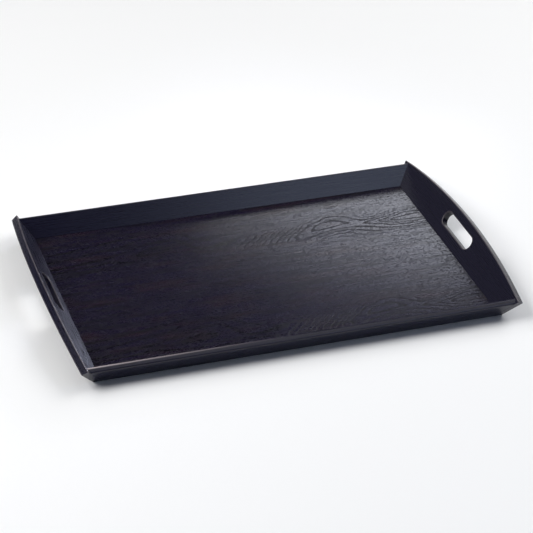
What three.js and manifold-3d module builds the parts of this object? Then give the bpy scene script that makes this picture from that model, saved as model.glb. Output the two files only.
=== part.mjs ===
// A black-stained wooden serving tray: four boards that lean outwards, a veneered base panel
// held in their grooves, and hidden dowels in the corners.
// Millimetres, +Z up, +X along the tray. The origin is on the table, below the tray's centre.

import * as THREE from "three";
import { mergeVertices } from "three/addons/utils/BufferGeometryUtils.js";
import Module from "manifold-3d";

// Foot of the tray: the outside of the boards where they stand on the table
const FOOT_LENGTH = 542;
const FOOT_WIDTH = 350;
const WALL_LEAN = THREE.MathUtils.degToRad(36.5);

// Long rails, with their height taken up the outer face
const RAIL_HEIGHT = 33;
const RAIL_THICKNESS = 8;
const RAIL_EDGE_RADIUS = 2;

// End boards, arched from the corner tips to the crown, with a hand slot below the grip
const END_THICKNESS = 10;
const END_RISE = 17.5;
const END_EDGE_RADIUS = 1.2;
const SLOT_LENGTH = 87;
const SLOT_HEIGHT = 19;
const GRIP_HEIGHT = 13;

// Base panel: a plywood core between a show veneer and a backing veneer
const CORE_THICKNESS = 3;
const SHOW_VENEER = 0.5;
const BACKING_VENEER = 0.5;
const PANEL_LIFT = 2.5;
const PANEL_TONGUE = 3;

// Corner dowels, which run along the rails and into the end boards
const DOWEL_DIAMETER = 4;
const DOWEL_IN_RAIL = 16;
const DOWEL_IN_END = 8;
const DOWEL_LEVELS = ["lower", "upper"];

// Clearances: glue lines, the panel's play in its grooves, and the dowels' holes
const GLUE_GAP = 0.3;
const PANEL_GAP = 0.3;
const DOWEL_GAP = 0.15;
const DOWEL_END_GAP = 0.5;

// The most of a board's thickness that one rounded edge may take
const ROUND_LIMIT = 0.45;

// Fineness of the round shapes
const ARC_STEPS = 24;
const EDGE_STEPS = 3;
const DOWEL_SIDES = 16;

const SIN_LEAN = Math.sin(WALL_LEAN);
const COS_LEAN = Math.cos(WALL_LEAN);
const TAN_LEAN = Math.tan(WALL_LEAN);

const PANEL_THICKNESS = BACKING_VENEER + CORE_THICKNESS + SHOW_VENEER;
const PANEL_TOP = PANEL_LIFT + PANEL_THICKNESS;

// The end boards' inner top edge meets the rails' inner top edge at one height
const END_TIP_HEIGHT = RAIL_HEIGHT - (END_THICKNESS - RAIL_THICKNESS) * TAN_LEAN;
const END_CROWN_HEIGHT = END_TIP_HEIGHT + END_RISE;

const wasm = await Module();
wasm.setup();

const UP = new THREE.Vector3(0, 0, 1);
const QUARTER_TURN = Math.PI / 2;

const finishes = {
  board: new THREE.MeshStandardMaterial({ color: 0x201f2b, roughness: 0.35, metalness: 0 }),
  showVeneer: new THREE.MeshStandardMaterial({ color: 0x2a2833, roughness: 0.45, metalness: 0 }),
  backingVeneer: new THREE.MeshStandardMaterial({ color: 0x1c1b22, roughness: 0.6, metalness: 0 }),
  plywood: new THREE.MeshStandardMaterial({ color: 0xc8a67a, roughness: 0.8, metalness: 0 }),
  beech: new THREE.MeshStandardMaterial({ color: 0xd2ae86, roughness: 0.7, metalness: 0 }),
};

const tray = new THREE.Group();

// Distance from the tray's middle to a leaning wall's inner face, at a height over the table
function innerFace(footSize, thickness, height) {
  return footSize / 2 + height * TAN_LEAN - thickness / COS_LEAN;
}

// Height up a wall's slope of the point that lies at a depth in the board and a height over the table
function slopeAt(height, depth) {
  return (height - depth * SIN_LEAN) / COS_LEAN;
}

// A closed geometry as a solid that can be cut
function solidOf(geometry) {
  const bare = new THREE.BufferGeometry();
  bare.setAttribute("position", geometry.getAttribute("position"));
  bare.setIndex(geometry.getIndex());
  const merged = mergeVertices(bare, 1e-4);
  const mesh = new wasm.Mesh({
    numProp: 3,
    vertProperties: merged.getAttribute("position").array,
    triVerts: new Uint32Array(merged.getIndex().array),
  });
  return new wasm.Manifold(mesh);
}

// A geometry with each of the cutters taken away from it
function carve(geometry, cutters) {
  let solid = solidOf(geometry);
  for (const cutter of cutters) {
    solid = solid.subtract(solidOf(cutter));
  }
  const mesh = solid.getMesh();
  const carved = new THREE.BufferGeometry();
  carved.setAttribute("position", new THREE.BufferAttribute(mesh.vertProperties, 3));
  carved.setIndex(new THREE.BufferAttribute(mesh.triVerts, 1));
  const flat = carved.toNonIndexed();
  flat.computeVertexNormals();
  return flat;
}

// The waste beyond a saw cut through a point, square to the way out of the wood
function wasteBeyond(point, wayOut) {
  const size = 2 * (FOOT_LENGTH + FOOT_WIDTH);
  const turn = new THREE.Quaternion().setFromUnitVectors(UP, wayOut);
  const block = new THREE.BoxGeometry(size, size, size);
  block.translate(0, 0, size / 2);
  block.applyQuaternion(turn);
  return block.translate(point.x, point.y, point.z);
}

// Waste outside the plane of a wall's outer face, moved in by a depth; yaw 0 is the rear wall
function wasteOutsideWall(yaw, footSize, depth) {
  const wayOut = new THREE.Vector3(0, COS_LEAN, -SIN_LEAN);
  const point = new THREE.Vector3(0, footSize / 2, 0).addScaledVector(wayOut, -depth);
  return wasteBeyond(point.applyAxisAngle(UP, yaw), wayOut.applyAxisAngle(UP, yaw));
}

// Waste below the table, which cuts the foot of each board level
function wasteBelowTable() {
  return wasteBeyond(new THREE.Vector3(0, 0, 0), new THREE.Vector3(0, 0, -1));
}

// Stands a board on the foot line of one side: x along the wall, y up the slope, z into the tray
function standBoard(name, yaw, footSize, blank, cutters) {
  const side = new THREE.Group();
  side.rotation.z = yaw;
  tray.add(side);
  const board = new THREE.Mesh(blank, finishes.board);
  board.name = name;
  board.position.y = footSize / 2;
  board.rotation.x = QUARTER_TURN - WALL_LEAN;
  side.add(board);
  board.updateWorldMatrix(true, false);
  const intoBoard = board.matrixWorld.clone().invert();
  board.geometry = carve(blank, cutters.map((cutter) => cutter.clone().applyMatrix4(intoBoard)));
}

// A plank with its two top edges rounded, longer than the rail that is sawn from it
function railBlank() {
  const radius = Math.min(RAIL_EDGE_RADIUS, ROUND_LIMIT * RAIL_THICKNESS);
  const length = FOOT_LENGTH + 4 * RAIL_HEIGHT;
  const bottom = slopeAt(0, RAIL_THICKNESS) - RAIL_THICKNESS;
  const profile = new THREE.Shape();
  profile.moveTo(-RAIL_THICKNESS, bottom);
  profile.lineTo(0, bottom);
  profile.lineTo(0, RAIL_HEIGHT - radius);
  profile.absarc(-radius, RAIL_HEIGHT - radius, radius, 0, QUARTER_TURN);
  profile.lineTo(radius - RAIL_THICKNESS, RAIL_HEIGHT);
  profile.absarc(radius - RAIL_THICKNESS, RAIL_HEIGHT - radius, radius, QUARTER_TURN, 2 * QUARTER_TURN);
  const plank = new THREE.ExtrudeGeometry(profile, {
    depth: length,
    bevelEnabled: false,
    curveSegments: EDGE_STEPS,
  });
  plank.translate(0, 0, -length / 2);
  return plank.rotateY(QUARTER_TURN);
}

// The hand slot: straight along the board, with full round ends, below the grip
function slotOutline() {
  const radius = SLOT_HEIGHT / 2;
  const reach = SLOT_LENGTH / 2 - radius;
  const middle = END_CROWN_HEIGHT - GRIP_HEIGHT - radius;
  const outline = new THREE.Path();
  outline.absarc(reach, middle, radius, -QUARTER_TURN, QUARTER_TURN);
  outline.absarc(-reach, middle, radius, QUARTER_TURN, 3 * QUARTER_TURN);
  outline.closePath();
  return outline;
}

// An arched board with its edges eased, longer and deeper than the end board that is sawn from it
function endBlank() {
  const radius = Math.min(END_EDGE_RADIUS, ROUND_LIMIT * END_THICKNESS);
  const bottom = slopeAt(0, END_THICKNESS) - END_THICKNESS;
  const halfTip = FOOT_WIDTH / 2 + (END_TIP_HEIGHT * COS_LEAN + END_THICKNESS * SIN_LEAN) * TAN_LEAN;
  const halfBlank = halfTip + END_THICKNESS;
  const archRadius = (halfTip ** 2 + END_RISE ** 2) / (2 * END_RISE);
  const archAngle = Math.asin(halfBlank / archRadius);
  const outline = new THREE.Shape();
  outline.moveTo(-halfBlank, bottom);
  outline.lineTo(halfBlank, bottom);
  const archStart = QUARTER_TURN - archAngle;
  const archEnd = QUARTER_TURN + archAngle;
  outline.absarc(0, END_CROWN_HEIGHT - archRadius, archRadius, archStart, archEnd);
  outline.closePath();
  outline.holes.push(slotOutline());
  const board = new THREE.ExtrudeGeometry(outline, {
    depth: END_THICKNESS - 2 * radius,
    bevelEnabled: true,
    bevelThickness: radius,
    bevelSize: radius,
    bevelOffset: -radius,
    bevelSegments: EDGE_STEPS,
    curveSegments: ARC_STEPS,
  });
  return board.translate(0, 0, radius);
}

const panelLength = 2 * (innerFace(FOOT_LENGTH, END_THICKNESS, PANEL_TOP) + PANEL_TONGUE);
const panelWidth = 2 * (innerFace(FOOT_WIDTH, RAIL_THICKNESS, PANEL_TOP) + PANEL_TONGUE);

// One layer of the base panel, lying on the layers below it
function addPanelLayer(name, thickness, underside, material) {
  const layer = new THREE.Mesh(new THREE.BoxGeometry(panelLength, panelWidth, thickness), material);
  layer.name = name;
  layer.position.z = underside + thickness / 2;
  tray.add(layer);
}

// The room that the base panel takes in the four boards
function panelGroove() {
  const room = new THREE.BoxGeometry(
    panelLength + 2 * PANEL_GAP,
    panelWidth + 2 * PANEL_GAP,
    PANEL_THICKNESS + 2 * PANEL_GAP,
  );
  return room.translate(0, 0, PANEL_LIFT + PANEL_THICKNESS / 2);
}

// The dowels of one corner share the rail's height over the panel groove, in the middle of the rail
function cornerDowels(endName, endSign, railName, railSign) {
  const depth = RAIL_THICKNESS / 2;
  const lowest = slopeAt(PANEL_TOP + PANEL_GAP, depth);
  const pitch = (RAIL_HEIGHT - lowest) / DOWEL_LEVELS.length;
  return DOWEL_LEVELS.map((level, index) => {
    const slope = lowest + (index + 0.5) * pitch;
    const height = slope * COS_LEAN + depth * SIN_LEAN;
    const joint = innerFace(FOOT_LENGTH, END_THICKNESS, height);
    return {
      name: `dowel_${railName}_${endName}_${level}`,
      x: endSign * (joint + (DOWEL_IN_END - DOWEL_IN_RAIL) / 2),
      y: railSign * (FOOT_WIDTH / 2 + slope * SIN_LEAN - depth * COS_LEAN),
      z: height,
    };
  });
}

// A round bar along the tray
function bar(diameter, length) {
  const round = new THREE.CylinderGeometry(diameter / 2, diameter / 2, length, DOWEL_SIDES);
  return round.rotateZ(QUARTER_TURN);
}

const dowels = [
  ...cornerDowels("left", -1, "front", -1),
  ...cornerDowels("right", 1, "front", -1),
  ...cornerDowels("left", -1, "rear", 1),
  ...cornerDowels("right", 1, "rear", 1),
];
const dowelLength = DOWEL_IN_RAIL + DOWEL_IN_END;
const dowelHoles = dowels.map(({ x, y, z }) =>
  bar(DOWEL_DIAMETER + 2 * DOWEL_GAP, dowelLength + 2 * DOWEL_END_GAP).translate(x, y, z),
);

const YAW = { rear: 0, left: QUARTER_TURN, front: 2 * QUARTER_TURN, right: -QUARTER_TURN };

// Rails butt against the end boards, so the end boards' inner faces trim them
const railCuts = [
  wasteBelowTable(),
  wasteOutsideWall(YAW.left, FOOT_LENGTH, END_THICKNESS + GLUE_GAP),
  wasteOutsideWall(YAW.right, FOOT_LENGTH, END_THICKNESS + GLUE_GAP),
  panelGroove(),
  ...dowelHoles,
];
standBoard("front_rail", YAW.front, FOOT_WIDTH, railBlank(), railCuts);
standBoard("rear_rail", YAW.rear, FOOT_WIDTH, railBlank(), railCuts);

// End boards run the full width, and their ends are flush with the rails' outer faces
const endCuts = [
  wasteBelowTable(),
  wasteOutsideWall(YAW.front, FOOT_WIDTH, 0),
  wasteOutsideWall(YAW.rear, FOOT_WIDTH, 0),
  panelGroove(),
  ...dowelHoles,
];
standBoard("left_end_board", YAW.left, FOOT_LENGTH, endBlank(), endCuts);
standBoard("right_end_board", YAW.right, FOOT_LENGTH, endBlank(), endCuts);

addPanelLayer("base_backing_veneer", BACKING_VENEER, PANEL_LIFT, finishes.backingVeneer);
addPanelLayer("base_core", CORE_THICKNESS, PANEL_LIFT + BACKING_VENEER, finishes.plywood);
addPanelLayer("base_show_veneer", SHOW_VENEER, PANEL_TOP - SHOW_VENEER, finishes.showVeneer);

for (const { name, x, y, z } of dowels) {
  const dowel = new THREE.Mesh(bar(DOWEL_DIAMETER, dowelLength), finishes.beech);
  dowel.name = name;
  dowel.position.set(x, y, z);
  tray.add(dowel);
}

export default tray;
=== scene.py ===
"""Looks of a black-stained wooden serving tray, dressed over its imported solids.

Metres, +Z up, +X along the tray, +Y towards its rear. The rails and the corner dowels come from
geometry node trees, and the arched end boards from mesh code. The layers of the base panel keep
their solids and get their finishes here.
"""

import logging
import math
from abc import ABC, abstractmethod
from collections.abc import Callable
from dataclasses import dataclass
from enum import Enum
from functools import partial

import bmesh
import bpy
from mathutils import Matrix, Vector


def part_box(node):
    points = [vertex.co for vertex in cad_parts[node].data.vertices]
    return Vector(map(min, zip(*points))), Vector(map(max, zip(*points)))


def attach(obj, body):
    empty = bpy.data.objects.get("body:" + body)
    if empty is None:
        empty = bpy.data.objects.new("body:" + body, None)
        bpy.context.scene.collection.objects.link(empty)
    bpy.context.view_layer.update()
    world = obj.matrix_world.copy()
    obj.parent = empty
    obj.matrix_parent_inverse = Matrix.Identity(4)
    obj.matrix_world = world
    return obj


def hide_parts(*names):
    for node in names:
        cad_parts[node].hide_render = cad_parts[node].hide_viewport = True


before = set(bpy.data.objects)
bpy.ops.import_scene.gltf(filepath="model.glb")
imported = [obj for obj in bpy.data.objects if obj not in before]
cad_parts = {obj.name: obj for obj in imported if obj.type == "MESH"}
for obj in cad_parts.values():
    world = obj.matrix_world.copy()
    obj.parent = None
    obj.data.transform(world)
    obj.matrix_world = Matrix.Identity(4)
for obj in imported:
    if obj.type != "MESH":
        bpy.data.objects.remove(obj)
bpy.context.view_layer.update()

LOG = logging.getLogger("tray")
MM = 0.001
BODY = "root"

# Attributes of a board's mesh: a point's place along the board, up its slope and into it, in
# metres. Its distance from the nearest edge, under 1 on the rounding and more on the faces.
# How strongly that edge is painted lighter, from 1 to 0 or less for not at all: partly worn stain,
# partly a painted highlight.
BOARD_FRAME = "board_frame"
FROM_EDGE = "from_edge"
WEAR_AND_HIGHLIGHT = "worn_and_highlit"

# Width of the strip of face kept beside an end board's rounded edges.
FACE_MARGIN = 3 * MM
# Divisions of a rounded edge, of an arch and of a slot's end.
EDGE_STEPS = 6
ARCH_STEPS = 120
SLOT_STEPS = 28
SHARP_ANGLE = math.radians(35)
# Weight of large faces over small ones in a piece's shading, the most there is.
FLAT_WEIGHT = 100

LACQUER_IOR = 1.46
WOOD_IOR = 1.45

# Sizes of the lights in metres, where the gridded ones point, and the tints of the cool ones.
FILL_SIZE = (1.7, 1.7)
GRID_SIZE = (0.45, 0.2)
KEY_AIM = (0.12, 0.19, 0.0)
NEAR_AIM = (0.18, 0.25, 0.0)
SIDE_AIM = (-0.26, 0.0, 0.0)
KEY_TINT = "#e0e6ff"
NEAR_TINT = "#fafdff"
SKY_TINT = "#d4e3ff"

COORDINATES = "ShaderNodeTexCoord"
ATTRIBUTE = "ShaderNodeAttribute"
SPLIT = "ShaderNodeSeparateXYZ"
JOIN = "ShaderNodeCombineXYZ"
MATH = "ShaderNodeMath"
VECTOR = "ShaderNodeVectorMath"
NOISE = "ShaderNodeTexNoise"
RANGE = "ShaderNodeMapRange"
MIX = "ShaderNodeMix"
BUMP = "ShaderNodeBump"
# Numbers of a mix node's colour inputs and of its colour output.
COLOUR_A, COLOUR_B, COLOUR_OUT = 6, 7, 2
# The middle of a noise's values, and spans of values.
NOISE_MEAN = (0.5, 0.5, 0.5)
WHOLE = (0.0, 1.0)
REVERSED = (1.0, 0.0)

Object = bpy.types.Object
Mesh = bpy.types.Mesh
Material = bpy.types.Material
Tree = bpy.types.NodeTree
Socket = bpy.types.NodeSocket
NodeAdder = Callable[..., Socket]
Span = tuple[float, float]
Triple = tuple[float, float, float]
Steps = tuple[Triple, ...]


class Side(Enum):
    """Sides of the tray, each with its quarter turns from the rear, seen from above."""

    REAR = 0
    LEFT = 1
    FRONT = 2
    RIGHT = 3

    @property
    def turn(self) -> float:
        """Angle from the rear side to this one, in radians."""
        return self.value * math.pi / 2


@dataclass(frozen=True)
class TraySizes:
    """Driving sizes of the tray's boards, in metres and radians, as its solids have them."""

    foot_length: float = 542 * MM
    foot_width: float = 350 * MM
    lean: float = math.radians(36.5)
    rail_height: float = 33 * MM
    rail_thickness: float = 8 * MM
    rail_round: float = 2 * MM
    end_thickness: float = 10 * MM
    end_rise: float = 17.5 * MM
    end_round: float = 1.2 * MM
    foot_ease: float = 0.4 * MM
    slot_length: float = 87 * MM
    slot_height: float = 19 * MM
    grip_height: float = 13 * MM
    panel_gap: float = 0.3 * MM

    @property
    def crown_height(self) -> float:
        """Height of an end board's crown, up its outer face."""
        tip = self.rail_height - (self.end_thickness - self.rail_thickness) * math.tan(self.lean)
        return tip + self.end_rise

    @property
    def slot_middle(self) -> float:
        """Height of a hand slot's middle, up the board's outer face."""
        return self.crown_height - self.grip_height - self.slot_height / 2

    @property
    def arch_radius(self) -> float:
        """Radius of an end board's arch through its crown and both tips."""
        tip = self.crown_height - self.end_rise
        tip_level = tip * math.cos(self.lean) + self.end_thickness * math.sin(self.lean)
        half = self.foot_width / 2 + tip_level * math.tan(self.lean)
        return (half**2 + self.end_rise**2) / (2 * self.end_rise)

    def inner_foot(self, foot: float, thickness: float) -> float:
        """Distance from the tray's middle to a wall's inner face at table level."""
        return foot / 2 - thickness / math.cos(self.lean)

    def wall_place(self, side: Side, foot: float) -> Matrix:
        """Gives the place of a wall whose own axes run along it, up its slope and into the tray.

        Args:
            side: The side of the tray that the wall stands on.
            foot: The tray's size over the feet of this wall and the opposite one.

        Returns:
            The matrix from the wall's own axes to the tray's.
        """
        upright = Matrix.Rotation(math.pi / 2 - self.lean, 4, "X")
        return Matrix.Rotation(side.turn, 4, "Z") @ Matrix.Translation((0, foot / 2, 0)) @ upright


def linear(hex_colour: str) -> tuple[float, float, float, float]:
    """Turns an sRGB hex colour into linear values.

    Args:
        hex_colour: Six hex digits after a hash sign.

    Returns:
        Red, green, blue and alpha, in linear light.
    """
    parts = [int(hex_colour[start:start + 2], 16) / 255 for start in (1, 3, 5)]
    red, green, blue = (p / 12.92 if p <= 0.04045 else ((p + 0.055) / 1.055) ** 2.4 for p in parts)
    return red, green, blue, 1.0


def add_node(
    tree: Tree,
    kind: str,
    inputs: dict[str | int, object] | None = None,
    out: str | int = 0,
    **settings: object,
) -> Socket | None:
    """Adds a node with its settings and links.

    Args:
        tree: The shader or geometry tree.
        kind: The node's type name.
        inputs: A value, or an output to link, for each input by name or number.
        out: The output to return, by name or number.
        **settings: The node's own properties.

    Returns:
        The output asked for, or nothing for a node without outputs.
    """
    node = tree.nodes.new(kind)
    for name, value in settings.items():
        setattr(node, name, value)
    for key, value in (inputs or {}).items():
        if isinstance(value, Socket):
            tree.links.new(value, node.inputs[key])
        else:
            node.inputs[key].default_value = value
    return node.outputs[out] if node.outputs else None


def new_material(name: str, **constants: float) -> tuple[Material, NodeAdder, bpy.types.Node]:
    """Starts a node material.

    Args:
        name: What the material is and how it was made.
        **constants: Values of the shader's own sockets, with underscores for spaces.

    Returns:
        The material, a call that adds nodes to it, and its shader node.
    """
    material = bpy.data.materials.new(name)
    material.use_nodes = True
    shader = material.node_tree.nodes["Principled BSDF"]
    for socket, value in constants.items():
        shader.inputs[socket.replace("_", " ")].default_value = value
    return material, partial(add_node, material.node_tree), shader


def dress(material: Material, shader: bpy.types.Node, **sources: Socket) -> Material:
    """Links a material's patterns to its shader.

    Args:
        material: The material.
        shader: Its shader node.
        **sources: The output for each shader input, with underscores for spaces.

    Returns:
        The material.
    """
    for socket, source in sources.items():
        material.node_tree.links.new(source, shader.inputs[socket.replace("_", " ")])
    return material


def ramp(
    node: NodeAdder, value: Socket, over: Span, to: Span = WHOLE, soft: bool = False
) -> Socket:
    """Brings a span of values to another one, and holds it past both ends.

    Args:
        node: The call that adds nodes to the material.
        value: The values.
        over: The span that they start from.
        to: The span that they are brought to.
        soft: Whether they set off and arrive gently, instead of evenly.

    Returns:
        The new values.
    """
    ends = {"From Min": over[0], "From Max": over[1], "To Min": to[0], "To Max": to[1]}
    shape = "SMOOTHSTEP" if soft else "LINEAR"
    return node(RANGE, {"Value": value, **ends}, interpolation_type=shape)


def stairs(node: NodeAdder, along: Socket, steps: Steps) -> Socket:
    """Adds up smooth steps along a line.

    Args:
        node: The call that adds nodes to the material.
        along: The place on the line.
        steps: Where each step starts and ends, and its rise.

    Returns:
        The sum of the steps.
    """
    total = None
    for low, high, rise in steps:
        step = ramp(node, along, (low, high), (0.0, rise), soft=True)
        total = node(MATH, {0: total, 1: step}) if total else step
    return total


def in_millimetres(node: NodeAdder, place: Socket) -> Socket:
    """Turns a place in metres into one in millimetres."""
    return node(VECTOR, {0: place, "Scale": 1 / MM}, operation="SCALE")


def wood_noise(
    node: NodeAdder,
    place: Socket,
    lengths: Triple,
    detail: float,
    roughness: float = 0.5,
    out: str | int = 0,
) -> Socket:
    """Adds noise that is stretched to real lengths.

    Args:
        node: The call that adds nodes to the material.
        place: The place on the wood, in millimetres.
        lengths: The pattern's lengths along, across and into the wood, in millimetres.
        detail: The number of finer layers in it.
        roughness: The strength of each finer layer against the one before.
        out: The output to return, by name or number.

    Returns:
        The noise, from 0 to 1.
    """
    stretch = tuple(1 / length for length in lengths)
    spread = node(VECTOR, {0: place, 1: stretch}, operation="MULTIPLY")
    layers = {"Scale": 1.0, "Detail": detail, "Roughness": roughness}
    return node(NOISE, {"Vector": spread, **layers}, out=out)


def blend(node: NodeAdder, share: Socket, first: str | Socket, second: str | Socket) -> Socket:
    """Mixes two colours, each a hex colour or an output.

    Args:
        node: The call that adds nodes to the material.
        share: The second colour's share.
        first: The first colour.
        second: The second colour.

    Returns:
        The mixed colour.
    """
    first, second = (linear(tint) if isinstance(tint, str) else tint for tint in (first, second))
    inputs = {0: share, COLOUR_A: first, COLOUR_B: second}
    return node(MIX, inputs, out=COLOUR_OUT, data_type="RGBA")


@dataclass(frozen=True)
class AshVeneer:
    """Flat-cut ash veneer, slip-matched, stained black with open pores under satin lacquer.

    Steps along a leaf give where each starts and ends, in millimetres right of the panel's
    middle, and its rise. Spans of noise give the values between which a pattern comes up.
    """

    # Width of a leaf, and how far the heart of its figure lies behind the panel's middle.
    leaf_mm: float = 220.0
    heart_mm: float = 78.0
    # Slow waves of the trunk and small kinks of its rings: their length, width and reach.
    waves_mm: Steps = ((45.0, 16.0, 9.0), (13.0, 6.0, 4.0))
    # Where the heart climbs or falls, in millimetres.
    heart_steps: Steps = (
        (-270.0, -130.0, 15.0), (-100.0, -50.0, -15.0), (70.0, 125.0, 17.0), (135.0, 185.0, -9.0),
    )
    # How many growth rings the cut crosses along the heart. The count turns back at two eyes,
    # some 120 mm left and 130 mm right of the middle.
    growth_steps: Steps = (
        (-600.0, -500.0, 0.55), (-190.0, -125.0, 1.0), (-115.0, -60.0, -1.0),
        (-22.0, 45.0, 4.3), (15.0, 85.0, 4.5), (55.0, 95.0, 1.6),
        (84.0, 129.0, 1.1), (129.0, 172.0, -1.0), (165.0, 205.0, 1.0), (185.0, 240.0, 2.0),
    )
    # How far the rings lean along the leaf for each millimetre above the heart.
    slant: float = 0.9
    # Rings crossed for each millimetre away from the heart: few at the arches, more on both sides.
    flank_steps: Steps = (
        (-600.0, -500.0, 0.055), (-45.0, -10.0, -0.03), (65.0, 115.0, 0.067), (160.0, 200.0, 0.04),
    )
    # How many times closer the rings lie below the heart than above it, and how bluntly they
    # turn round it, in rings.
    crowding: float = 1.3
    bow: float = 0.2
    # How a row of pores comes and goes within one year's growth.
    row_steps: Steps = ((0.0, 0.14, 1.0), (0.18, 0.38, -1.0))
    # How rough the rows are: only from the arches on, and softer at the right eye.
    rough_steps: Steps = ((-30.0, 0.0, 1.0), (70.0, 110.0, -0.35))
    # How soon the rows are lost above the heart and below it, soonest at the arches, and the
    # distances between which they fade, in millimetres where that pace is 1.
    above_pace: Steps = ((-600.0, -500.0, 0.4), (-60.0, -20.0, 0.6))
    below_pace: Steps = ((-600.0, -500.0, 1.0), (-60.0, -20.0, 2.0), (60.0, 110.0, -2.0))
    above_fade: Span = (16.0, 27.0)
    below_fade: Span = (16.0, 44.0)
    # Pores, really about 0.3 mm wide, are drawn far wider so that they show. Rows of them have
    # gaps, where only a share of the row is left.
    pore_mm: Triple = (3.2, 1.5, 1.0)
    pore_span: Span = (0.5, 0.7)
    gap_span: Span = (0.3, 0.5)
    gap_share: float = 0.5
    # Fine straight lines and soft brown streaks along the leaf, and how strong they get.
    line_mm: Triple = (55.0, 2.6, 1.0)
    line_span: Span = (0.4, 0.65)
    line_share: float = 0.8
    streak_mm: Triple = (70.0, 14.0, 1.0)
    streak_span: Span = (0.5, 0.75)
    streak_share: float = 0.8
    # The stain on plain wood, in the brown streaks, and in pores and lines.
    plain: str = "#181328"
    brown: str = "#2a1a22"
    dark: str = "#06050b"
    # The lacquer's dullness between pores and in them, and what rows and lines add to it.
    dull: Span = (0.25, 0.6)
    row_dull: float = 0.55
    line_dull: float = 0.05
    # The depth of a row, and a lone pore's share of it.
    relief: float = 0.29 * MM
    pore_share: float = 0.1

    def rings(self, node: NodeAdder, place: Socket) -> tuple[Socket, Socket]:
        """Draws the rows of open pores at the start of each year's growth.

        Args:
            node: The call that adds nodes to the material.
            place: The place on the panel, in millimetres.

        Returns:
            How dark the rows are, and how rough, both from 0 to 1.
        """
        # Each leaf has the same place again, moved by the waves and kinks.
        across = node(SPLIT, {0: place}, out="Y")
        along = across.node.outputs["X"]
        across = node(MATH, {0: across, 1: self.heart_mm}, operation="SUBTRACT")
        half = self.leaf_mm / 2
        across = node(MATH, {0: across, 1: half, 2: -half}, operation="WRAP")
        place = node(JOIN, {"X": along, "Y": across})
        for long_mm, wide_mm, reach_mm in self.waves_mm:
            shift = wood_noise(node, place, (long_mm, wide_mm, 1.0), detail=1.0, out="Color")
            shift = node(VECTOR, {0: shift, 1: NOISE_MEAN}, operation="SUBTRACT")
            shift = node(VECTOR, {0: shift, "Scale": reach_mm}, operation="SCALE")
            place = node(VECTOR, {0: place, 1: shift})
        along = node(SPLIT, {0: place}, out="X")
        heart = stairs(node, along, self.heart_steps)
        flank = node(MATH, {0: along.node.outputs["Y"], 1: heart}, operation="SUBTRACT")
        leaning = node(MATH, {0: flank, 1: -self.slant, 2: along}, operation="MULTIPLY_ADD")
        above = node(MATH, {0: flank, 1: 0.0}, operation="MAXIMUM")
        below = node(MATH, {0: above, 1: flank}, operation="SUBTRACT")

        # A row starts where the count of rings passes a whole number.
        crossed = stairs(node, along, self.flank_steps)
        flank = node(MATH, {0: below, 1: self.crowding, 2: above}, operation="MULTIPLY_ADD")
        flank = node(MATH, {0: flank, 1: crossed}, operation="MULTIPLY")
        turned = node(JOIN, {"X": flank, "Y": self.bow})
        turned = node(VECTOR, {0: turned}, out="Value", operation="LENGTH")
        growth = stairs(node, leaning, self.growth_steps)
        year = node(MATH, {0: growth, 1: turned}, operation="SUBTRACT")
        year = node(MATH, {0: year}, operation="FRACT")
        rings = stairs(node, year, self.row_steps)

        for away, pace, fade in (
            (above, self.above_pace, self.above_fade),
            (below, self.below_pace, self.below_fade),
        ):
            away = node(MATH, {0: away, 1: stairs(node, along, pace)}, operation="MULTIPLY")
            shown = ramp(node, away, fade, REVERSED, soft=True)
            rings = node(MATH, {0: rings, 1: shown}, operation="MULTIPLY")
        rough = stairs(node, leaning, self.rough_steps)
        rough = node(MATH, {0: rings, 1: rough}, operation="MULTIPLY")
        return rings, rough

    def material(self) -> Material:
        """Builds the finish.

        Returns:
            The material.
        """
        # The eye sees dull, dark lines of open pores between smoother bands that catch the light,
        # in slanting arches beside a long oval eye, the same in each leaf of the veneer.
        made, node, shader = new_material("black_stained_ash_veneer", IOR=LACQUER_IOR)
        place = in_millimetres(node, node(COORDINATES, out="Object"))
        rings, rough = self.rings(node, place)
        pores = wood_noise(node, place, self.pore_mm, detail=2.0, roughness=0.6)
        gaps = ramp(node, pores, self.gap_span, (self.gap_share, 1.0))
        rough = node(MATH, {0: rough, 1: gaps}, operation="MULTIPLY")
        pores = ramp(node, pores, self.pore_span)
        lines = wood_noise(node, place, self.line_mm, detail=2.0)
        lines = ramp(node, lines, self.line_span, (0.0, self.line_share))
        streaks = wood_noise(node, place, self.streak_mm, detail=3.0)
        streaks = ramp(node, streaks, self.streak_span, (0.0, self.streak_share))

        hollow = node(MATH, {0: rings, 1: pores}, operation="MAXIMUM")
        hollow = node(MATH, {0: hollow, 1: lines}, operation="MAXIMUM")
        stain = blend(node, streaks, self.plain, self.brown)
        stain = blend(node, hollow, stain, self.dark)
        dull = ramp(node, pores, WHOLE, self.dull)
        dull = node(MATH, {0: rough, 1: self.row_dull, 2: dull}, operation="MULTIPLY_ADD")
        dull = node(MATH, {0: lines, 1: self.line_dull, 2: dull}, operation="MULTIPLY_ADD")
        depth = node(MATH, {0: pores, 1: self.pore_share, 2: rough}, operation="MULTIPLY_ADD")
        level = node(MATH, {0: 1.0, 1: depth}, operation="SUBTRACT")
        relief = node(BUMP, {"Strength": 1.0, "Distance": self.relief, "Height": level})
        return dress(made, shader, Base_Color=stain, Roughness=dull, Normal=relief)


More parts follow.
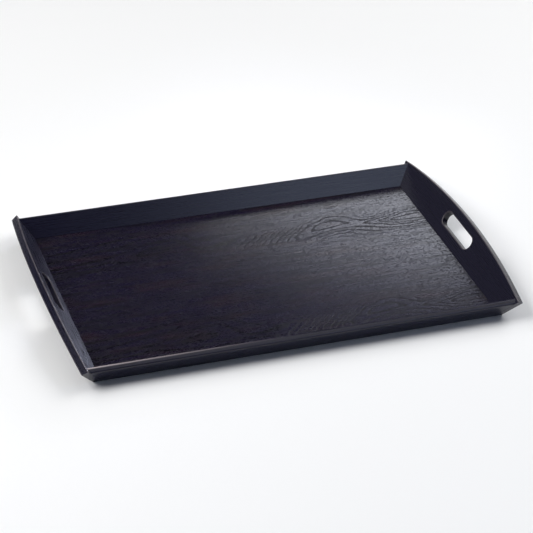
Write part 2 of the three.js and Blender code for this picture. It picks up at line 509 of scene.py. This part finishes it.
@dataclass(frozen=True)
class LacqueredBoard:
    """Planed solid wood, stained black and sprayed with satin lacquer."""

    streak_mm: Triple = (60.0, 1.6, 1.6)
    stains: tuple[str, str] = ("#0c0a1c", "#14122a")
    dull: Span = (0.23, 0.33)
    relief: float = 0.02 * MM
    relief_strength: float = 0.5
    # Lighter edges, partly worn stain and partly a painted highlight: the colour, the distances
    # from the edge between which it ends, in radii of the edge's rounding, and how fast it is lost
    # along the edge.
    worn_and_highlit: str = "#b0a5a7"
    wear_and_highlight_span: Span = (0.6, 1.4)
    wear_and_highlight_power: float = 1.6

    def material(self) -> Material:
        """Builds the finish.

        Returns:
            The material.
        """
        # The eye sees an even satin black with hardly any grain, and thin warm grey lines along
        # the edges: worn stain with a painted highlight.
        made, node, shader = new_material("black_lacquered_board", IOR=LACQUER_IOR)
        place = in_millimetres(node, node(ATTRIBUTE, out="Vector", attribute_name=BOARD_FRAME))
        streaks = wood_noise(node, place, self.streak_mm, detail=3.0)
        edge = node(ATTRIBUTE, out="Fac", attribute_name=FROM_EDGE)
        edge = ramp(node, edge, self.wear_and_highlight_span, REVERSED)
        # Worn stain and a painted highlight along the edges, from the marks on the mesh.
        wear_and_highlight = node(ATTRIBUTE, out="Fac", attribute_name=WEAR_AND_HIGHLIGHT)
        wear_and_highlight = node(MATH, {0: wear_and_highlight, 1: 0.0}, operation="MAXIMUM")
        wear_and_highlight = node(MATH, {0: wear_and_highlight, 1: self.wear_and_highlight_power}, operation="POWER")
        wear_and_highlight = node(MATH, {0: wear_and_highlight, 1: edge}, operation="MULTIPLY")
        stain = blend(node, streaks, *self.stains)
        stain = blend(node, wear_and_highlight, stain, self.worn_and_highlit)
        dull = ramp(node, streaks, WHOLE, self.dull)
        bump = {"Strength": self.relief_strength, "Distance": self.relief, "Height": streaks}
        return dress(made, shader, Base_Color=stain, Roughness=dull, Normal=node(BUMP, bump))


@dataclass(frozen=True)
class BackingVeneer:
    """Plain sliced veneer, stained black and left matt."""

    grain_mm: Triple = (90.0, 1.8, 1.0)
    stains: tuple[str, str] = ("#0e0d11", "#1e1c20")
    dull: Span = (0.75, 0.55)
    relief: float = 0.05 * MM
    relief_strength: float = 0.7

    def material(self) -> Material:
        """Builds the finish.

        Returns:
            The material.
        """
        # The eye sees a dull charcoal black with long straight grain.
        made, node, shader = new_material("black_stained_backing_veneer", IOR=LACQUER_IOR)
        place = in_millimetres(node, node(COORDINATES, out="Object"))
        grain = wood_noise(node, place, self.grain_mm, detail=4.0)
        stain = blend(node, grain, *self.stains)
        dull = ramp(node, grain, WHOLE, self.dull)
        bump = {"Strength": self.relief_strength, "Distance": self.relief, "Height": grain}
        return dress(made, shader, Base_Color=stain, Roughness=dull, Normal=node(BUMP, bump))


@dataclass(frozen=True)
class BirchPlywood:
    """Bare birch plywood, peeled, crossed and pressed."""

    ply_mm: float = 1.0
    fibre_mm: Triple = (30.0, 1.5, 1.0)
    woods: tuple[str, str] = ("#d2ab7a", "#bf9562")
    # The glue line's colour, and its share of a ply.
    glue: str = "#6e4a2c"
    glue_share: float = 0.12
    dull: Span = (0.6, 0.75)

    def material(self) -> Material:
        """Builds the finish.

        Returns:
            The material.
        """
        # The eye sees pale yellow plies with a thin brown glue line between them.
        made, node, shader = new_material("birch_plywood", IOR=WOOD_IOR)
        place = in_millimetres(node, node(COORDINATES, out="Object"))
        height = node(SPLIT, {0: place}, out="Z")
        ply = node(MATH, {0: height, 1: self.ply_mm}, operation="DIVIDE")
        ply = node(MATH, {0: ply}, operation="FRACT")
        glue = ramp(node, ply, (0.0, self.glue_share), REVERSED)
        fibre = wood_noise(node, place, self.fibre_mm, detail=3.0)
        wood = blend(node, fibre, *self.woods)
        wood = blend(node, glue, wood, self.glue)
        dull = ramp(node, fibre, WHOLE, self.dull)
        return dress(made, shader, Base_Color=wood, Roughness=dull)


@dataclass(frozen=True)
class TurnedBeech:
    """Bare beech, turned and fluted into dowel rod."""

    fleck_mm: Triple = (6.0, 0.7, 0.7)
    fleck_span: Span = (0.45, 0.7)
    woods: tuple[str, str] = ("#d3ad87", "#9c7048")
    dull: Span = (0.55, 0.7)

    def material(self) -> Material:
        """Builds the finish.

        Returns:
            The material.
        """
        # The eye sees pinkish tan wood with short dark flecks along the rod.
        made, node, shader = new_material("turned_beech", IOR=WOOD_IOR)
        place = in_millimetres(node, node(COORDINATES, out="Object"))
        flecks = wood_noise(node, place, self.fleck_mm, detail=2.0)
        flecks = ramp(node, flecks, self.fleck_span)
        wood = blend(node, flecks, *self.woods)
        dull = ramp(node, flecks, WHOLE, self.dull)
        return dress(made, shader, Base_Color=wood, Roughness=dull)


def new_tree(name: str, sizes: dict[str, str]) -> tuple[Tree, bpy.types.bpy_prop_collection]:
    """Starts a geometry tree.

    Args:
        name: The tree's name.
        sizes: The name and kind of each input between the geometry and the material.

    Returns:
        The tree and the outputs of its input node.
    """
    tree = bpy.data.node_groups.new(name, "GeometryNodeTree")
    tree.interface.new_socket("Geometry", in_out="OUTPUT", socket_type="NodeSocketGeometry")
    for label, kind in {"Geometry": "Geometry", **sizes, "Material": "Material"}.items():
        tree.interface.new_socket(label, in_out="INPUT", socket_type=f"NodeSocket{kind}")
    return tree, tree.nodes.new("NodeGroupInput").outputs


def end_tree(tree: Tree, shape: Socket, material: Socket) -> None:
    """Ends a geometry tree in plain geometry with its material.

    Args:
        tree: The tree.
        shape: The output that carries its geometry.
        material: The output that carries its material.
    """
    shape = add_node(tree, "GeometryNodeRealizeInstances", {"Geometry": shape})
    shape = add_node(tree, "GeometryNodeSetMaterial", {"Geometry": shape, "Material": material})
    add_node(tree, "NodeGroupOutput", {"Geometry": shape})


def run_tree(piece: Object, tree: Tree, values: dict[str, object]) -> None:
    """Runs a geometry tree on a piece and leaves the result as its plain mesh.

    Args:
        piece: The piece.
        tree: The tree.
        values: The value of each named input.
    """
    modifier = piece.modifiers.new(tree.name, "NODES")
    modifier.node_group = tree
    for item in tree.interface.items_tree:
        if item.in_out == "INPUT" and item.name in values:
            modifier[item.identifier] = values[item.name]
    settle(piece)


def settle(piece: Object) -> None:
    """Makes the result of a piece's modifiers its plain mesh.

    Args:
        piece: The piece.
    """
    graph = bpy.context.evaluated_depsgraph_get()
    mesh = bpy.data.meshes.new_from_object(piece.evaluated_get(graph), depsgraph=graph)
    piece.modifiers.clear()
    # A cut leaves a spare slot behind, and every face has the last slot's finish.
    if len(mesh.materials) > 1:
        finish = mesh.materials[-1]
        mesh.polygons.foreach_set("material_index", [0] * len(mesh.polygons))
        mesh.materials.clear()
        mesh.materials.append(finish)
    mesh.name = piece.name
    piece.data = mesh


def new_piece(name: str, mesh: Mesh | None = None) -> Object:
    """Adds a piece at the origin.

    Args:
        name: The piece's name.
        mesh: Its mesh, or nothing for one that a tree will make.

    Returns:
        The piece.
    """
    piece = bpy.data.objects.new(name, mesh or bpy.data.meshes.new(name))
    bpy.context.scene.collection.objects.link(piece)
    return piece


def smooth(piece: Object) -> None:
    """Shades a piece smooth, with sharp corners kept and flat faces left flat.

    Args:
        piece: The piece.
    """
    piece.data.shade_smooth()
    piece.data.set_sharp_from_angle(angle=SHARP_ANGLE)
    weighted = piece.modifiers.new("flat_faces", "WEIGHTED_NORMAL")
    weighted.keep_sharp = True
    weighted.weight = FLAT_WEIGHT
    settle(piece)


def panel_room(gap: float) -> tuple[Vector, Vector]:
    """Finds the room that the base panel's layers take up.

    Args:
        gap: The gap left round them.

    Returns:
        The middle and the size of the room.
    """
    boxes = [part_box(name) for name in BasePanel.LAYERS]
    low = Vector(min(box[0][axis] for box in boxes) - gap for axis in range(3))
    high = Vector(max(box[1][axis] for box in boxes) + gap for axis in range(3))
    return (low + high) / 2, high - low


def groove_tree() -> Tree:
    """Builds the tree that ploughs the base panel's groove into a board.

    Returns:
        The tree.
    """
    tree, given = new_tree("panel_groove", {"Room Middle": "Vector", "Room Size": "Vector"})
    node = partial(add_node, tree)
    room = node("GeometryNodeMeshCube", {"Size": given["Room Size"]})
    room = node("GeometryNodeTransform", {"Geometry": room, "Translation": given["Room Middle"]})
    meshes = {"Mesh 1": given["Geometry"], "Mesh 2": room}
    board = node("GeometryNodeMeshBoolean", meshes, operation="DIFFERENCE", solver="EXACT")
    end_tree(tree, board, given["Material"])
    return tree


def rail_tree() -> Tree:
    """Builds the tree that sweeps a rail's section and saws its ends to the end boards.

    Returns:
        The tree.
    """
    corners = ("Outer Foot", "Outer Top", "Inner Top", "Inner Foot")
    tree, given = new_tree("leaning_rail", {
        **{corner: "Vector" for corner in corners},
        "Top Radius": "Float", "Foot Ease": "Float", "Round Steps": "Int",
        "Half Length": "Float", "Lean": "Float", "Turn": "Vector",
    })
    node = partial(add_node, tree)
    points = {f"Point {number}": given[corner] for number, corner in enumerate(corners, 1)}
    section = node("GeometryNodeCurvePrimitiveQuadrilateral", points, mode="POINTS")
    # The two top corners are the second and the third, half a step either side of 1.5.
    from_top = node(MATH, {0: node("GeometryNodeInputIndex"), 1: 1.5}, operation="SUBTRACT")
    from_top = node(MATH, {0: from_top}, operation="ABSOLUTE")
    at_foot = node("FunctionNodeCompare", {0: from_top, 1: 1.0}, operation="GREATER_THAN")
    radii = {"False": given["Top Radius"], "True": given["Foot Ease"]}
    radius = node("GeometryNodeSwitch", {"Switch": at_foot, **radii}, input_type="FLOAT")
    rounding = {"Curve": section, "Count": given["Round Steps"], "Radius": radius}
    section = node("GeometryNodeFilletCurve", rounding, mode="POLY")
    path = node("GeometryNodeCurvePrimitiveLine", {"Start": (0, 0, -1), "End": (0, 0, 1)})
    sweep = {"Curve": path, "Profile Curve": section, "Fill Caps": True}
    bar = node("GeometryNodeCurveToMesh", sweep)
    quarter = math.pi / 2
    bar = node("GeometryNodeTransform", {"Geometry": bar, "Rotation": (quarter, 0, quarter)})
    # Each end stops at the leaning inner face of its end board.
    position = node("GeometryNodeInputPosition")
    along = node(SPLIT, {0: position}, out="X")
    height = along.node.outputs["Z"]
    slope = node(MATH, {0: given["Lean"]}, operation="TANGENT")
    half = node(MATH, {0: height, 1: slope, 2: given["Half Length"]}, operation="MULTIPLY_ADD")
    end = node(MATH, {0: along}, operation="SIGN")
    end = node(MATH, {0: end, 1: half}, operation="MULTIPLY")
    sawn = node(JOIN, {"X": end, "Y": along.node.outputs["Y"], "Z": height})
    rail = node("GeometryNodeSetPosition", {"Geometry": bar, "Position": sawn})
    rail = node("GeometryNodeTransform", {"Geometry": rail, "Rotation": given["Turn"]})
    end_tree(tree, rail, given["Material"])
    return tree


def dowel_tree() -> Tree:
    """Builds the tree that puts a fluted dowel with chamfered ends on every point.

    Returns:
        The tree.
    """
    tree, given = new_tree("fluted_dowels", {
        "Diameter": "Float", "Length": "Float", "Chamfer": "Float", "End Share": "Float",
        "Flute Depth": "Float", "Flutes": "Int", "Round Points": "Int", "Long Points": "Int",
    })
    node = partial(add_node, tree)
    radius = node(MATH, {0: given["Diameter"], 1: 0.5}, operation="MULTIPLY")
    sizes = {"Resolution": given["Round Points"], "Radius": radius}
    ring = node("GeometryNodeCurvePrimitiveCircle", sizes, mode="RADIUS")
    turn = node("GeometryNodeSplineParameter", out="Factor")
    turn = node(MATH, {0: turn, 1: given["Flutes"]}, operation="MULTIPLY")
    turn = node(MATH, {0: turn, 1: math.tau}, operation="MULTIPLY")
    wave = node(MATH, {0: turn}, operation="COSINE")
    wave = node(MATH, {0: wave, 1: 0.0}, operation="MINIMUM")
    depth = node(MATH, {0: given["Flute Depth"], 1: radius}, operation="DIVIDE")
    shrink = node(MATH, {0: wave, 1: depth, 2: 1.0}, operation="MULTIPLY_ADD")
    fluted = node("GeometryNodeInputPosition")
    fluted = node(VECTOR, {0: fluted, "Scale": shrink}, operation="SCALE")
    ring = node("GeometryNodeSetPosition", {"Geometry": ring, "Position": fluted})
    half = node(MATH, {0: given["Length"], 1: 0.5}, operation="MULTIPLY")
    high = node(JOIN, {"X": half})
    low = node(VECTOR, {0: high, "Scale": -1.0}, operation="SCALE")
    rod = node("GeometryNodeCurvePrimitiveLine", {"Start": low, "End": high})
    points = {"Curve": rod, "Count": given["Long Points"]}
    rod = node("GeometryNodeResampleCurve", points, mode="COUNT")
    from_start = node("GeometryNodeSplineParameter", out="Length")
    from_end = node(MATH, {0: given["Length"], 1: from_start}, operation="SUBTRACT")
    nearest = node(MATH, {0: from_start, 1: from_end}, operation="MINIMUM")
    ends = {"From Max": given["Chamfer"], "To Min": given["End Share"]}
    taper = node(RANGE, {"Value": nearest, **ends})
    sweep = {"Curve": rod, "Profile Curve": ring, "Scale": taper, "Fill Caps": True}
    rod = node("GeometryNodeCurveToMesh", sweep)
    dowels = node("GeometryNodeInstanceOnPoints", {"Points": given["Geometry"], "Instance": rod})
    end_tree(tree, dowels, given["Material"])
    return tree


@dataclass
class Board(ABC):
    """A wall of the tray that leans outwards and holds the base panel in a groove."""

    node: str
    side: Side
    sizes: TraySizes
    finish: Material

    @abstractmethod
    def from_edge(self, point: Vector) -> float:
        """Distance of a point from the nearest edge that is painted lighter, in radii of its
        rounding.
        """

    @abstractmethod
    def wear_and_highlight(self, point: Vector) -> float:
        """Share of worn stain and painted highlight at a point, where it is on such an edge."""

    def mark(self, mesh: Mesh, place: Matrix) -> None:
        """Notes the board's own axes and its lighter edges, worn stain and painted highlight, on
        its mesh, for the finish to follow.

        Args:
            mesh: The board's mesh.
            place: The matrix from the board's own axes to the tray's.
        """
        back = place.inverted()
        points = [back @ vertex.co for vertex in mesh.vertices]
        marks = {
            BOARD_FRAME: ("FLOAT_VECTOR", "vector", [part for point in points for part in point]),
            FROM_EDGE: ("FLOAT", "value", [self.from_edge(point) for point in points]),
            WEAR_AND_HIGHLIGHT: ("FLOAT", "value", [self.wear_and_highlight(point) for point in points]),
        }
        for name, (kind, part, values) in marks.items():
            mesh.attributes.new(name, kind, "POINT").data.foreach_set(part, values)

    def complete(self, piece: Object, place: Matrix, groove: Tree) -> Object:
        """Grooves, smooths and marks the board, and puts it in place of its solid.

        Args:
            piece: The board without its groove.
            place: The matrix from the board's own axes to the tray's.
            groove: The tree that cuts the groove.

        Returns:
            The piece.
        """
        middle, size = panel_room(self.sizes.panel_gap)
        run_tree(piece, groove, {"Room Middle": middle, "Room Size": size, "Material": self.finish})
        smooth(piece)
        self.mark(piece.data, place)
        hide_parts(self.node)
        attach(piece, BODY)
        return piece


@dataclass
class Rail(Board):
    """A straight rail with a rounded top."""

    # How strongly the inner top edge is painted lighter at one end, fading out at the middle: a
    # painted highlight.
    end_highlight: float = 0.0

    def section(self) -> dict[str, Triple]:
        """Gives the section's corners as (outwards, height) points from the tray's middle.

        Returns:
            Each corner under its name.
        """
        s = self.sizes
        sine, cosine = math.sin(s.lean), math.cos(s.lean)
        foot = s.foot_width / 2
        out, up = foot + s.rail_height * sine, s.rail_height * cosine
        return {
            "Outer Foot": (foot, 0.0, 0.0),
            "Outer Top": (out, up, 0.0),
            "Inner Top": (out - s.rail_thickness * cosine, up + s.rail_thickness * sine, 0.0),
            "Inner Foot": (s.inner_foot(s.foot_width, s.rail_thickness), 0.0, 0.0),
        }

    def from_edge(self, point: Vector) -> float:
        """Distance of a point from the inner top edge, in radii of its rounding."""
        s = self.sizes
        return max(s.rail_height - point.y, s.rail_thickness - point.z) / s.rail_round

    def wear_and_highlight(self, point: Vector) -> float:
        """Share of painted highlight at a point, less than 0 past the rail's middle."""
        return self.end_highlight * point.x / (self.sizes.foot_length / 2)

    def build(self, sweep: Tree, groove: Tree) -> Object:
        """Builds the rail in place of its solid.

        Args:
            sweep: The tree that sweeps the rail.
            groove: The tree that cuts its groove.

        Returns:
            The piece.
        """
        s = self.sizes
        piece = new_piece(f"{self.node}_board")
        run_tree(piece, sweep, {
            **self.section(),
            "Top Radius": s.rail_round, "Foot Ease": s.foot_ease, "Round Steps": EDGE_STEPS,
            "Half Length": s.inner_foot(s.foot_length, s.end_thickness), "Lean": s.lean,
            "Turn": (0.0, 0.0, self.side.turn), "Material": self.finish,
        })
        return self.complete(piece, s.wall_place(self.side, s.foot_width), groove)


@dataclass
class EndBoard(Board):
    """An arched end board with a round-ended hand slot and eased edges."""

    # How strongly the edges of the arch and the slot are painted lighter, all along: worn stain and
    # a painted highlight.
    edge_wear_and_highlight: float = 0.36

    def rings(self) -> list[tuple[float, float]]:
        """Gives the rings of the board's rounded edges, from its outer face to its inner one.

        Returns:
            Each ring's depth into the board and its distance inside the full outline.
        """
        radius, thickness = self.sizes.end_round, self.sizes.end_thickness
        turns = [step / EDGE_STEPS * math.pi / 2 for step in range(EDGE_STEPS + 1)]
        half = [(0.0, radius + FACE_MARGIN)]
        half += [(radius * (1 - math.cos(turn)), radius * (1 - math.sin(turn))) for turn in turns]
        mirrored = [(thickness - depth, inset) for depth, inset in reversed(half)]
        return [*half, (thickness / 2, 0.0), *mirrored]

    def outline(self, depth: float, inset: float) -> list[tuple[float, float]]:
        """Gives the board's closed outline at a depth: level foot, sawn ends and arched top.

        Args:
            depth: The depth into the board from its outer face.
            inset: The distance inside the full outline at the top.

        Returns:
            The outline's points, along the board and up its slope.
        """
        s = self.sizes
        sine, tangent = math.sin(s.lean), math.tan(s.lean)
        ease = inset * s.foot_ease / s.end_round
        foot = ease - depth * tangent
        base = s.foot_width / 2 + depth * sine * tangent - ease * math.hypot(1, sine)
        radius = s.arch_radius - inset
        centre = s.crown_height - s.arch_radius
        # The tip is where the sloping end meets the arch.
        square, slant = 1 + sine**2, base * sine - centre
        tip = (math.sqrt(slant**2 - square * (base**2 + centre**2 - radius**2)) - slant) / square
        swing = math.asin((base + tip * sine) / radius)
        turns = [swing * (1 - 2 * step / ARCH_STEPS) for step in range(ARCH_STEPS + 1)]
        arch = [(radius * math.sin(turn), centre + radius * math.cos(turn)) for turn in turns]
        return [(-base - foot * sine, foot), (base + foot * sine, foot), *arch]

    def slot(self, inset: float) -> list[tuple[float, float]]:
        """Gives the hand slot's closed outline.

        Args:
            inset: The distance outside the slot's full outline.

        Returns:
            The outline's points, along the board and up its slope.
        """
        s = self.sizes
        radius, reach = s.slot_height / 2, (s.slot_length - s.slot_height) / 2
        points = []
        for end, first in ((1, -math.pi / 2), (-1, math.pi / 2)):
            for step in range(SLOT_STEPS + 1):
                turn = first + step / SLOT_STEPS * math.pi
                points.append((
                    end * reach + (radius + inset) * math.cos(turn),
                    s.slot_middle + (radius + inset) * math.sin(turn),
                ))
        return points

    def from_edge(self, point: Vector) -> float:
        """Distance of a point from the nearest edge of arch or slot, in radii of its rounding."""
        s = self.sizes
        arch = s.arch_radius - math.hypot(point.x, point.y - s.crown_height + s.arch_radius)
        beyond = max(abs(point.x) - (s.slot_length - s.slot_height) / 2, 0.0)
        slot = math.hypot(beyond, point.y - s.slot_middle) - s.slot_height / 2
        return max(min(point.z, s.end_thickness - point.z), min(arch, slot)) / s.end_round

    def wear_and_highlight(self, point: Vector) -> float:
        """Share of worn stain and painted highlight at a point, the same all along these edges."""
        return self.edge_wear_and_highlight

    def mesh(self, place: Matrix) -> Mesh:
        """Lofts the rings of the outline and the slot, and fills both faces between them.

        Args:
            place: The matrix from the board's own axes to the tray's.

        Returns:
            The board's mesh, without its groove.
        """
        work = bmesh.new()
        lofts: tuple[list, list] = ([], [])
        for depth, inset in self.rings():
            for loft, points in zip(lofts, (self.outline(depth, inset), self.slot(inset))):
                loft.append([work.verts.new(place @ Vector((*point, depth))) for point in points])
        for loft in lofts:
            for near, far in zip(loft, loft[1:]):
                for step in range(len(near)):
                    work.faces.new((near[step - 1], near[step], far[step], far[step - 1]))
        for face in (0, -1):
            rims = [loft[face] for loft in lofts]
            pairs = [(rim[step - 1], rim[step]) for rim in rims for step in range(len(rim))]
            edges = [work.edges.get(pair) for pair in pairs]
            bmesh.ops.triangle_fill(work, edges=edges, use_beauty=True)
        bmesh.ops.recalc_face_normals(work, faces=work.faces)
        mesh = bpy.data.meshes.new(self.node)
        work.to_mesh(mesh)
        work.free()
        return mesh

    def build(self, groove: Tree) -> Object:
        """Builds the end board in place of its solid.

        Args:
            groove: The tree that cuts its groove.

        Returns:
            The piece.
        """
        place = self.sizes.wall_place(self.side, self.sizes.foot_length)
        piece = new_piece(f"{self.node}_arched", self.mesh(place))
        return self.complete(piece, place, groove)


@dataclass
class BasePanel:
    """The veneered plywood panel that lies in the boards' grooves."""

    LAYERS = ("base_show_veneer", "base_core", "base_backing_veneer")

    finishes: dict[str, Material]

    def build(self) -> list[Object]:
        """Gives each layer's solid its finish.

        Returns:
            The layers.
        """
        layers = [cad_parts[name] for name in self.LAYERS]
        for layer, name in zip(layers, self.LAYERS):
            layer.data.materials.clear()
            layer.data.materials.append(self.finishes[name])
        return layers


@dataclass
class CornerDowels:
    """The blind dowels in the corner joints, two to a corner."""

    finish: Material
    flutes: int = 12
    flute_depth: float = 0.18 * MM
    # The chamfer's length, and the thickness that it leaves at the end, as a share of the rod's.
    chamfer: float = 0.9 * MM
    end_share: float = 0.78
    round_points: int = 48
    long_points: int = 28

    def build(self, tree: Tree) -> Object:
        """Builds all the dowels in place of their solids.

        Args:
            tree: The tree that puts a dowel on every point.

        Returns:
            The piece.
        """
        nodes = sorted(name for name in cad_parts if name.startswith("dowel_"))
        boxes = [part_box(name) for name in nodes]
        middles = [(low + high) / 2 for low, high in boxes]
        size = boxes[0][1] - boxes[0][0]
        points = bpy.data.meshes.new("dowel_points")
        points.from_pydata(middles, [], [])
        piece = new_piece("corner_dowels", points)
        run_tree(piece, tree, {
            "Diameter": size.z, "Length": size.x,
            "Chamfer": self.chamfer, "End Share": self.end_share,
            "Flute Depth": self.flute_depth, "Flutes": self.flutes,
            "Round Points": self.round_points, "Long Points": self.long_points,
            "Material": self.finish,
        })
        piece.data.shade_smooth()
        piece.data.set_sharp_from_angle(angle=SHARP_ANGLE)
        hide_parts(*nodes)
        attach(piece, BODY)
        return piece


@dataclass(frozen=True)
class Softbox:
    """A rectangular soft light that faces the tray."""

    name: str
    place: Triple
    size: Span
    watts: float
    colour: str = "#ffffff"
    aim: Triple = (0.0, 0.0, 0.0)
    spread_degrees: float = 180.0

    def build(self) -> Object:
        """Hangs the light.

        Returns:
            The light.
        """
        lamp = bpy.data.lights.new(self.name, "AREA")
        lamp.shape = "RECTANGLE"
        lamp.size, lamp.size_y = self.size
        lamp.energy = self.watts
        lamp.color = linear(self.colour)[:3]
        lamp.spread = math.radians(self.spread_degrees)
        light = bpy.data.objects.new(self.name, lamp)
        light.location = self.place
        light.visible_camera = False
        towards = Vector(self.aim) - Vector(self.place)
        light.rotation_euler = towards.to_track_quat("-Z", "Y").to_euler()
        bpy.context.scene.collection.objects.link(light)
        return light


@dataclass(frozen=True)
class Studio:
    """A pale floor, soft lights, dim surroundings and the camera at the photo's place."""

    floor_size: float = 40.0
    floor_colour: str = "#f4f4f4"
    surroundings: str = "#0a0a0b"
    camera_turn: float = math.radians(-18.8437)
    camera_rise: float = math.radians(31.1428)
    camera_roll: float = math.radians(1.3159)
    camera_distance: float = 2.846149
    camera_right: float = 8.5437 * MM
    camera_up: float = 14.7012 * MM
    focal_pixels: float = 2156.667
    frame_pixels: float = 533.0
    sensor_mm: float = 36.0
    lights: tuple[Softbox, ...] = (
        Softbox("left_fill", (-2.2, 0.0, 2.3), FILL_SIZE, 70.0),
        Softbox("right_fill", (2.2, 0.0, 2.3), FILL_SIZE, 38.0),
        Softbox("rear_right_fill", (2.4, 1.39, 1.6), FILL_SIZE, 21.8),
        Softbox("rear_left_fill", (-1.07, 1.85, 2.38), FILL_SIZE, 18.2),
        Softbox("overhead_fill", (0.65, -0.6, 3.08), FILL_SIZE, 10.4),
        Softbox("low_fill", (-1.82, 2.6, 0.45), (1.7, 0.8), 0.8),
        Softbox("front_right_softbox", (0.85, -1.28, 1.29), (0.6, 0.6), 3.5, SKY_TINT),
        Softbox("gridded_key", (0.58, 0.85, 0.46), GRID_SIZE, 0.0525, KEY_TINT, KEY_AIM, 40),
        Softbox("gridded_near_key", (0.38, 0.65, 0.34), GRID_SIZE, 0.037, NEAR_TINT, NEAR_AIM, 24),
        Softbox("gridded_side_key", (0.8, 1.17, 0.5), (0.3, 0.2), 0.125, KEY_TINT, SIDE_AIM, 26),
    )

    def floor(self) -> Object:
        """Lays the floor.

        Returns:
            The floor.
        """
        half = self.floor_size / 2
        mesh = bpy.data.meshes.new("studio_floor")
        corners = [(-half, -half, 0), (half, -half, 0), (half, half, 0), (-half, half, 0)]
        mesh.from_pydata(corners, [], [(0, 1, 2, 3)])
        # Matt paper: an even pale sheet with no shine of its own.
        made, _, shader = new_material("matt_studio_paper", Roughness=1.0, Specular_IOR_Level=0.0)
        shader.inputs["Base Color"].default_value = linear(self.floor_colour)
        mesh.materials.append(made)
        floor = new_piece("studio_floor", mesh)
        return floor

    def camera(self) -> Object:
        """Puts the camera where the photo was taken from.

        Returns:
            The camera.
        """
        turn, rise = self.camera_turn, self.camera_rise
        level = math.cos(rise)
        back = Vector((math.sin(turn) * level, -math.cos(turn) * level, math.sin(rise)))
        right = Vector((math.cos(turn), math.sin(turn), 0.0))
        up = back.cross(right)
        roll = Matrix.Rotation(self.camera_roll, 3, back)
        right, up = roll @ right, roll @ up
        spot = back * self.camera_distance + right * self.camera_right + up * self.camera_up
        lens = bpy.data.cameras.new("photo_camera")
        lens.sensor_fit = "HORIZONTAL"
        lens.sensor_width = self.sensor_mm
        lens.lens = self.focal_pixels / self.frame_pixels * self.sensor_mm
        camera = bpy.data.objects.new("photo_camera", lens)
        axes = Matrix((right, up, back)).transposed().to_4x4()
        camera.matrix_world = Matrix.Translation(spot) @ axes
        bpy.context.scene.collection.objects.link(camera)
        bpy.context.scene.camera = camera
        return camera

    def build(self) -> None:
        """Sets up the floor, the lights, the surroundings and the camera."""
        scene = bpy.context.scene
        scene.view_settings.view_transform = "Standard"
        scene.world = bpy.data.worlds.new("dim_surroundings")
        scene.world.use_nodes = True
        background = scene.world.node_tree.nodes["Background"]
        background.inputs["Color"].default_value = linear(self.surroundings)
        self.floor()
        for light in self.lights:
            light.build()
        self.camera()


def main() -> None:
    """Builds the tray and its studio, and reports each piece."""
    logging.basicConfig(level=logging.INFO, format="%(name)s: %(message)s")
    sizes = TraySizes()
    board = LacqueredBoard().material()
    Studio().build()
    sweep, groove = rail_tree(), groove_tree()
    pieces = [
        # The front rail's inner top edge gets a painted highlight, strongest at one end.
        Rail("front_rail", Side.FRONT, sizes, board, end_highlight=1.0).build(sweep, groove),
        Rail("rear_rail", Side.REAR, sizes, board).build(sweep, groove),
        EndBoard("left_end_board", Side.LEFT, sizes, board).build(groove),
        EndBoard("right_end_board", Side.RIGHT, sizes, board).build(groove),
        CornerDowels(TurnedBeech().material()).build(dowel_tree()),
    ]
    panel = BasePanel({
        "base_show_veneer": AshVeneer().material(),
        "base_core": BirchPlywood().material(),
        "base_backing_veneer": BackingVeneer().material(),
    })
    pieces += panel.build()
    for piece in pieces:
        LOG.info("%s: %d faces", piece.name, len(piece.data.polygons))


if __name__ == "__main__":
    main()
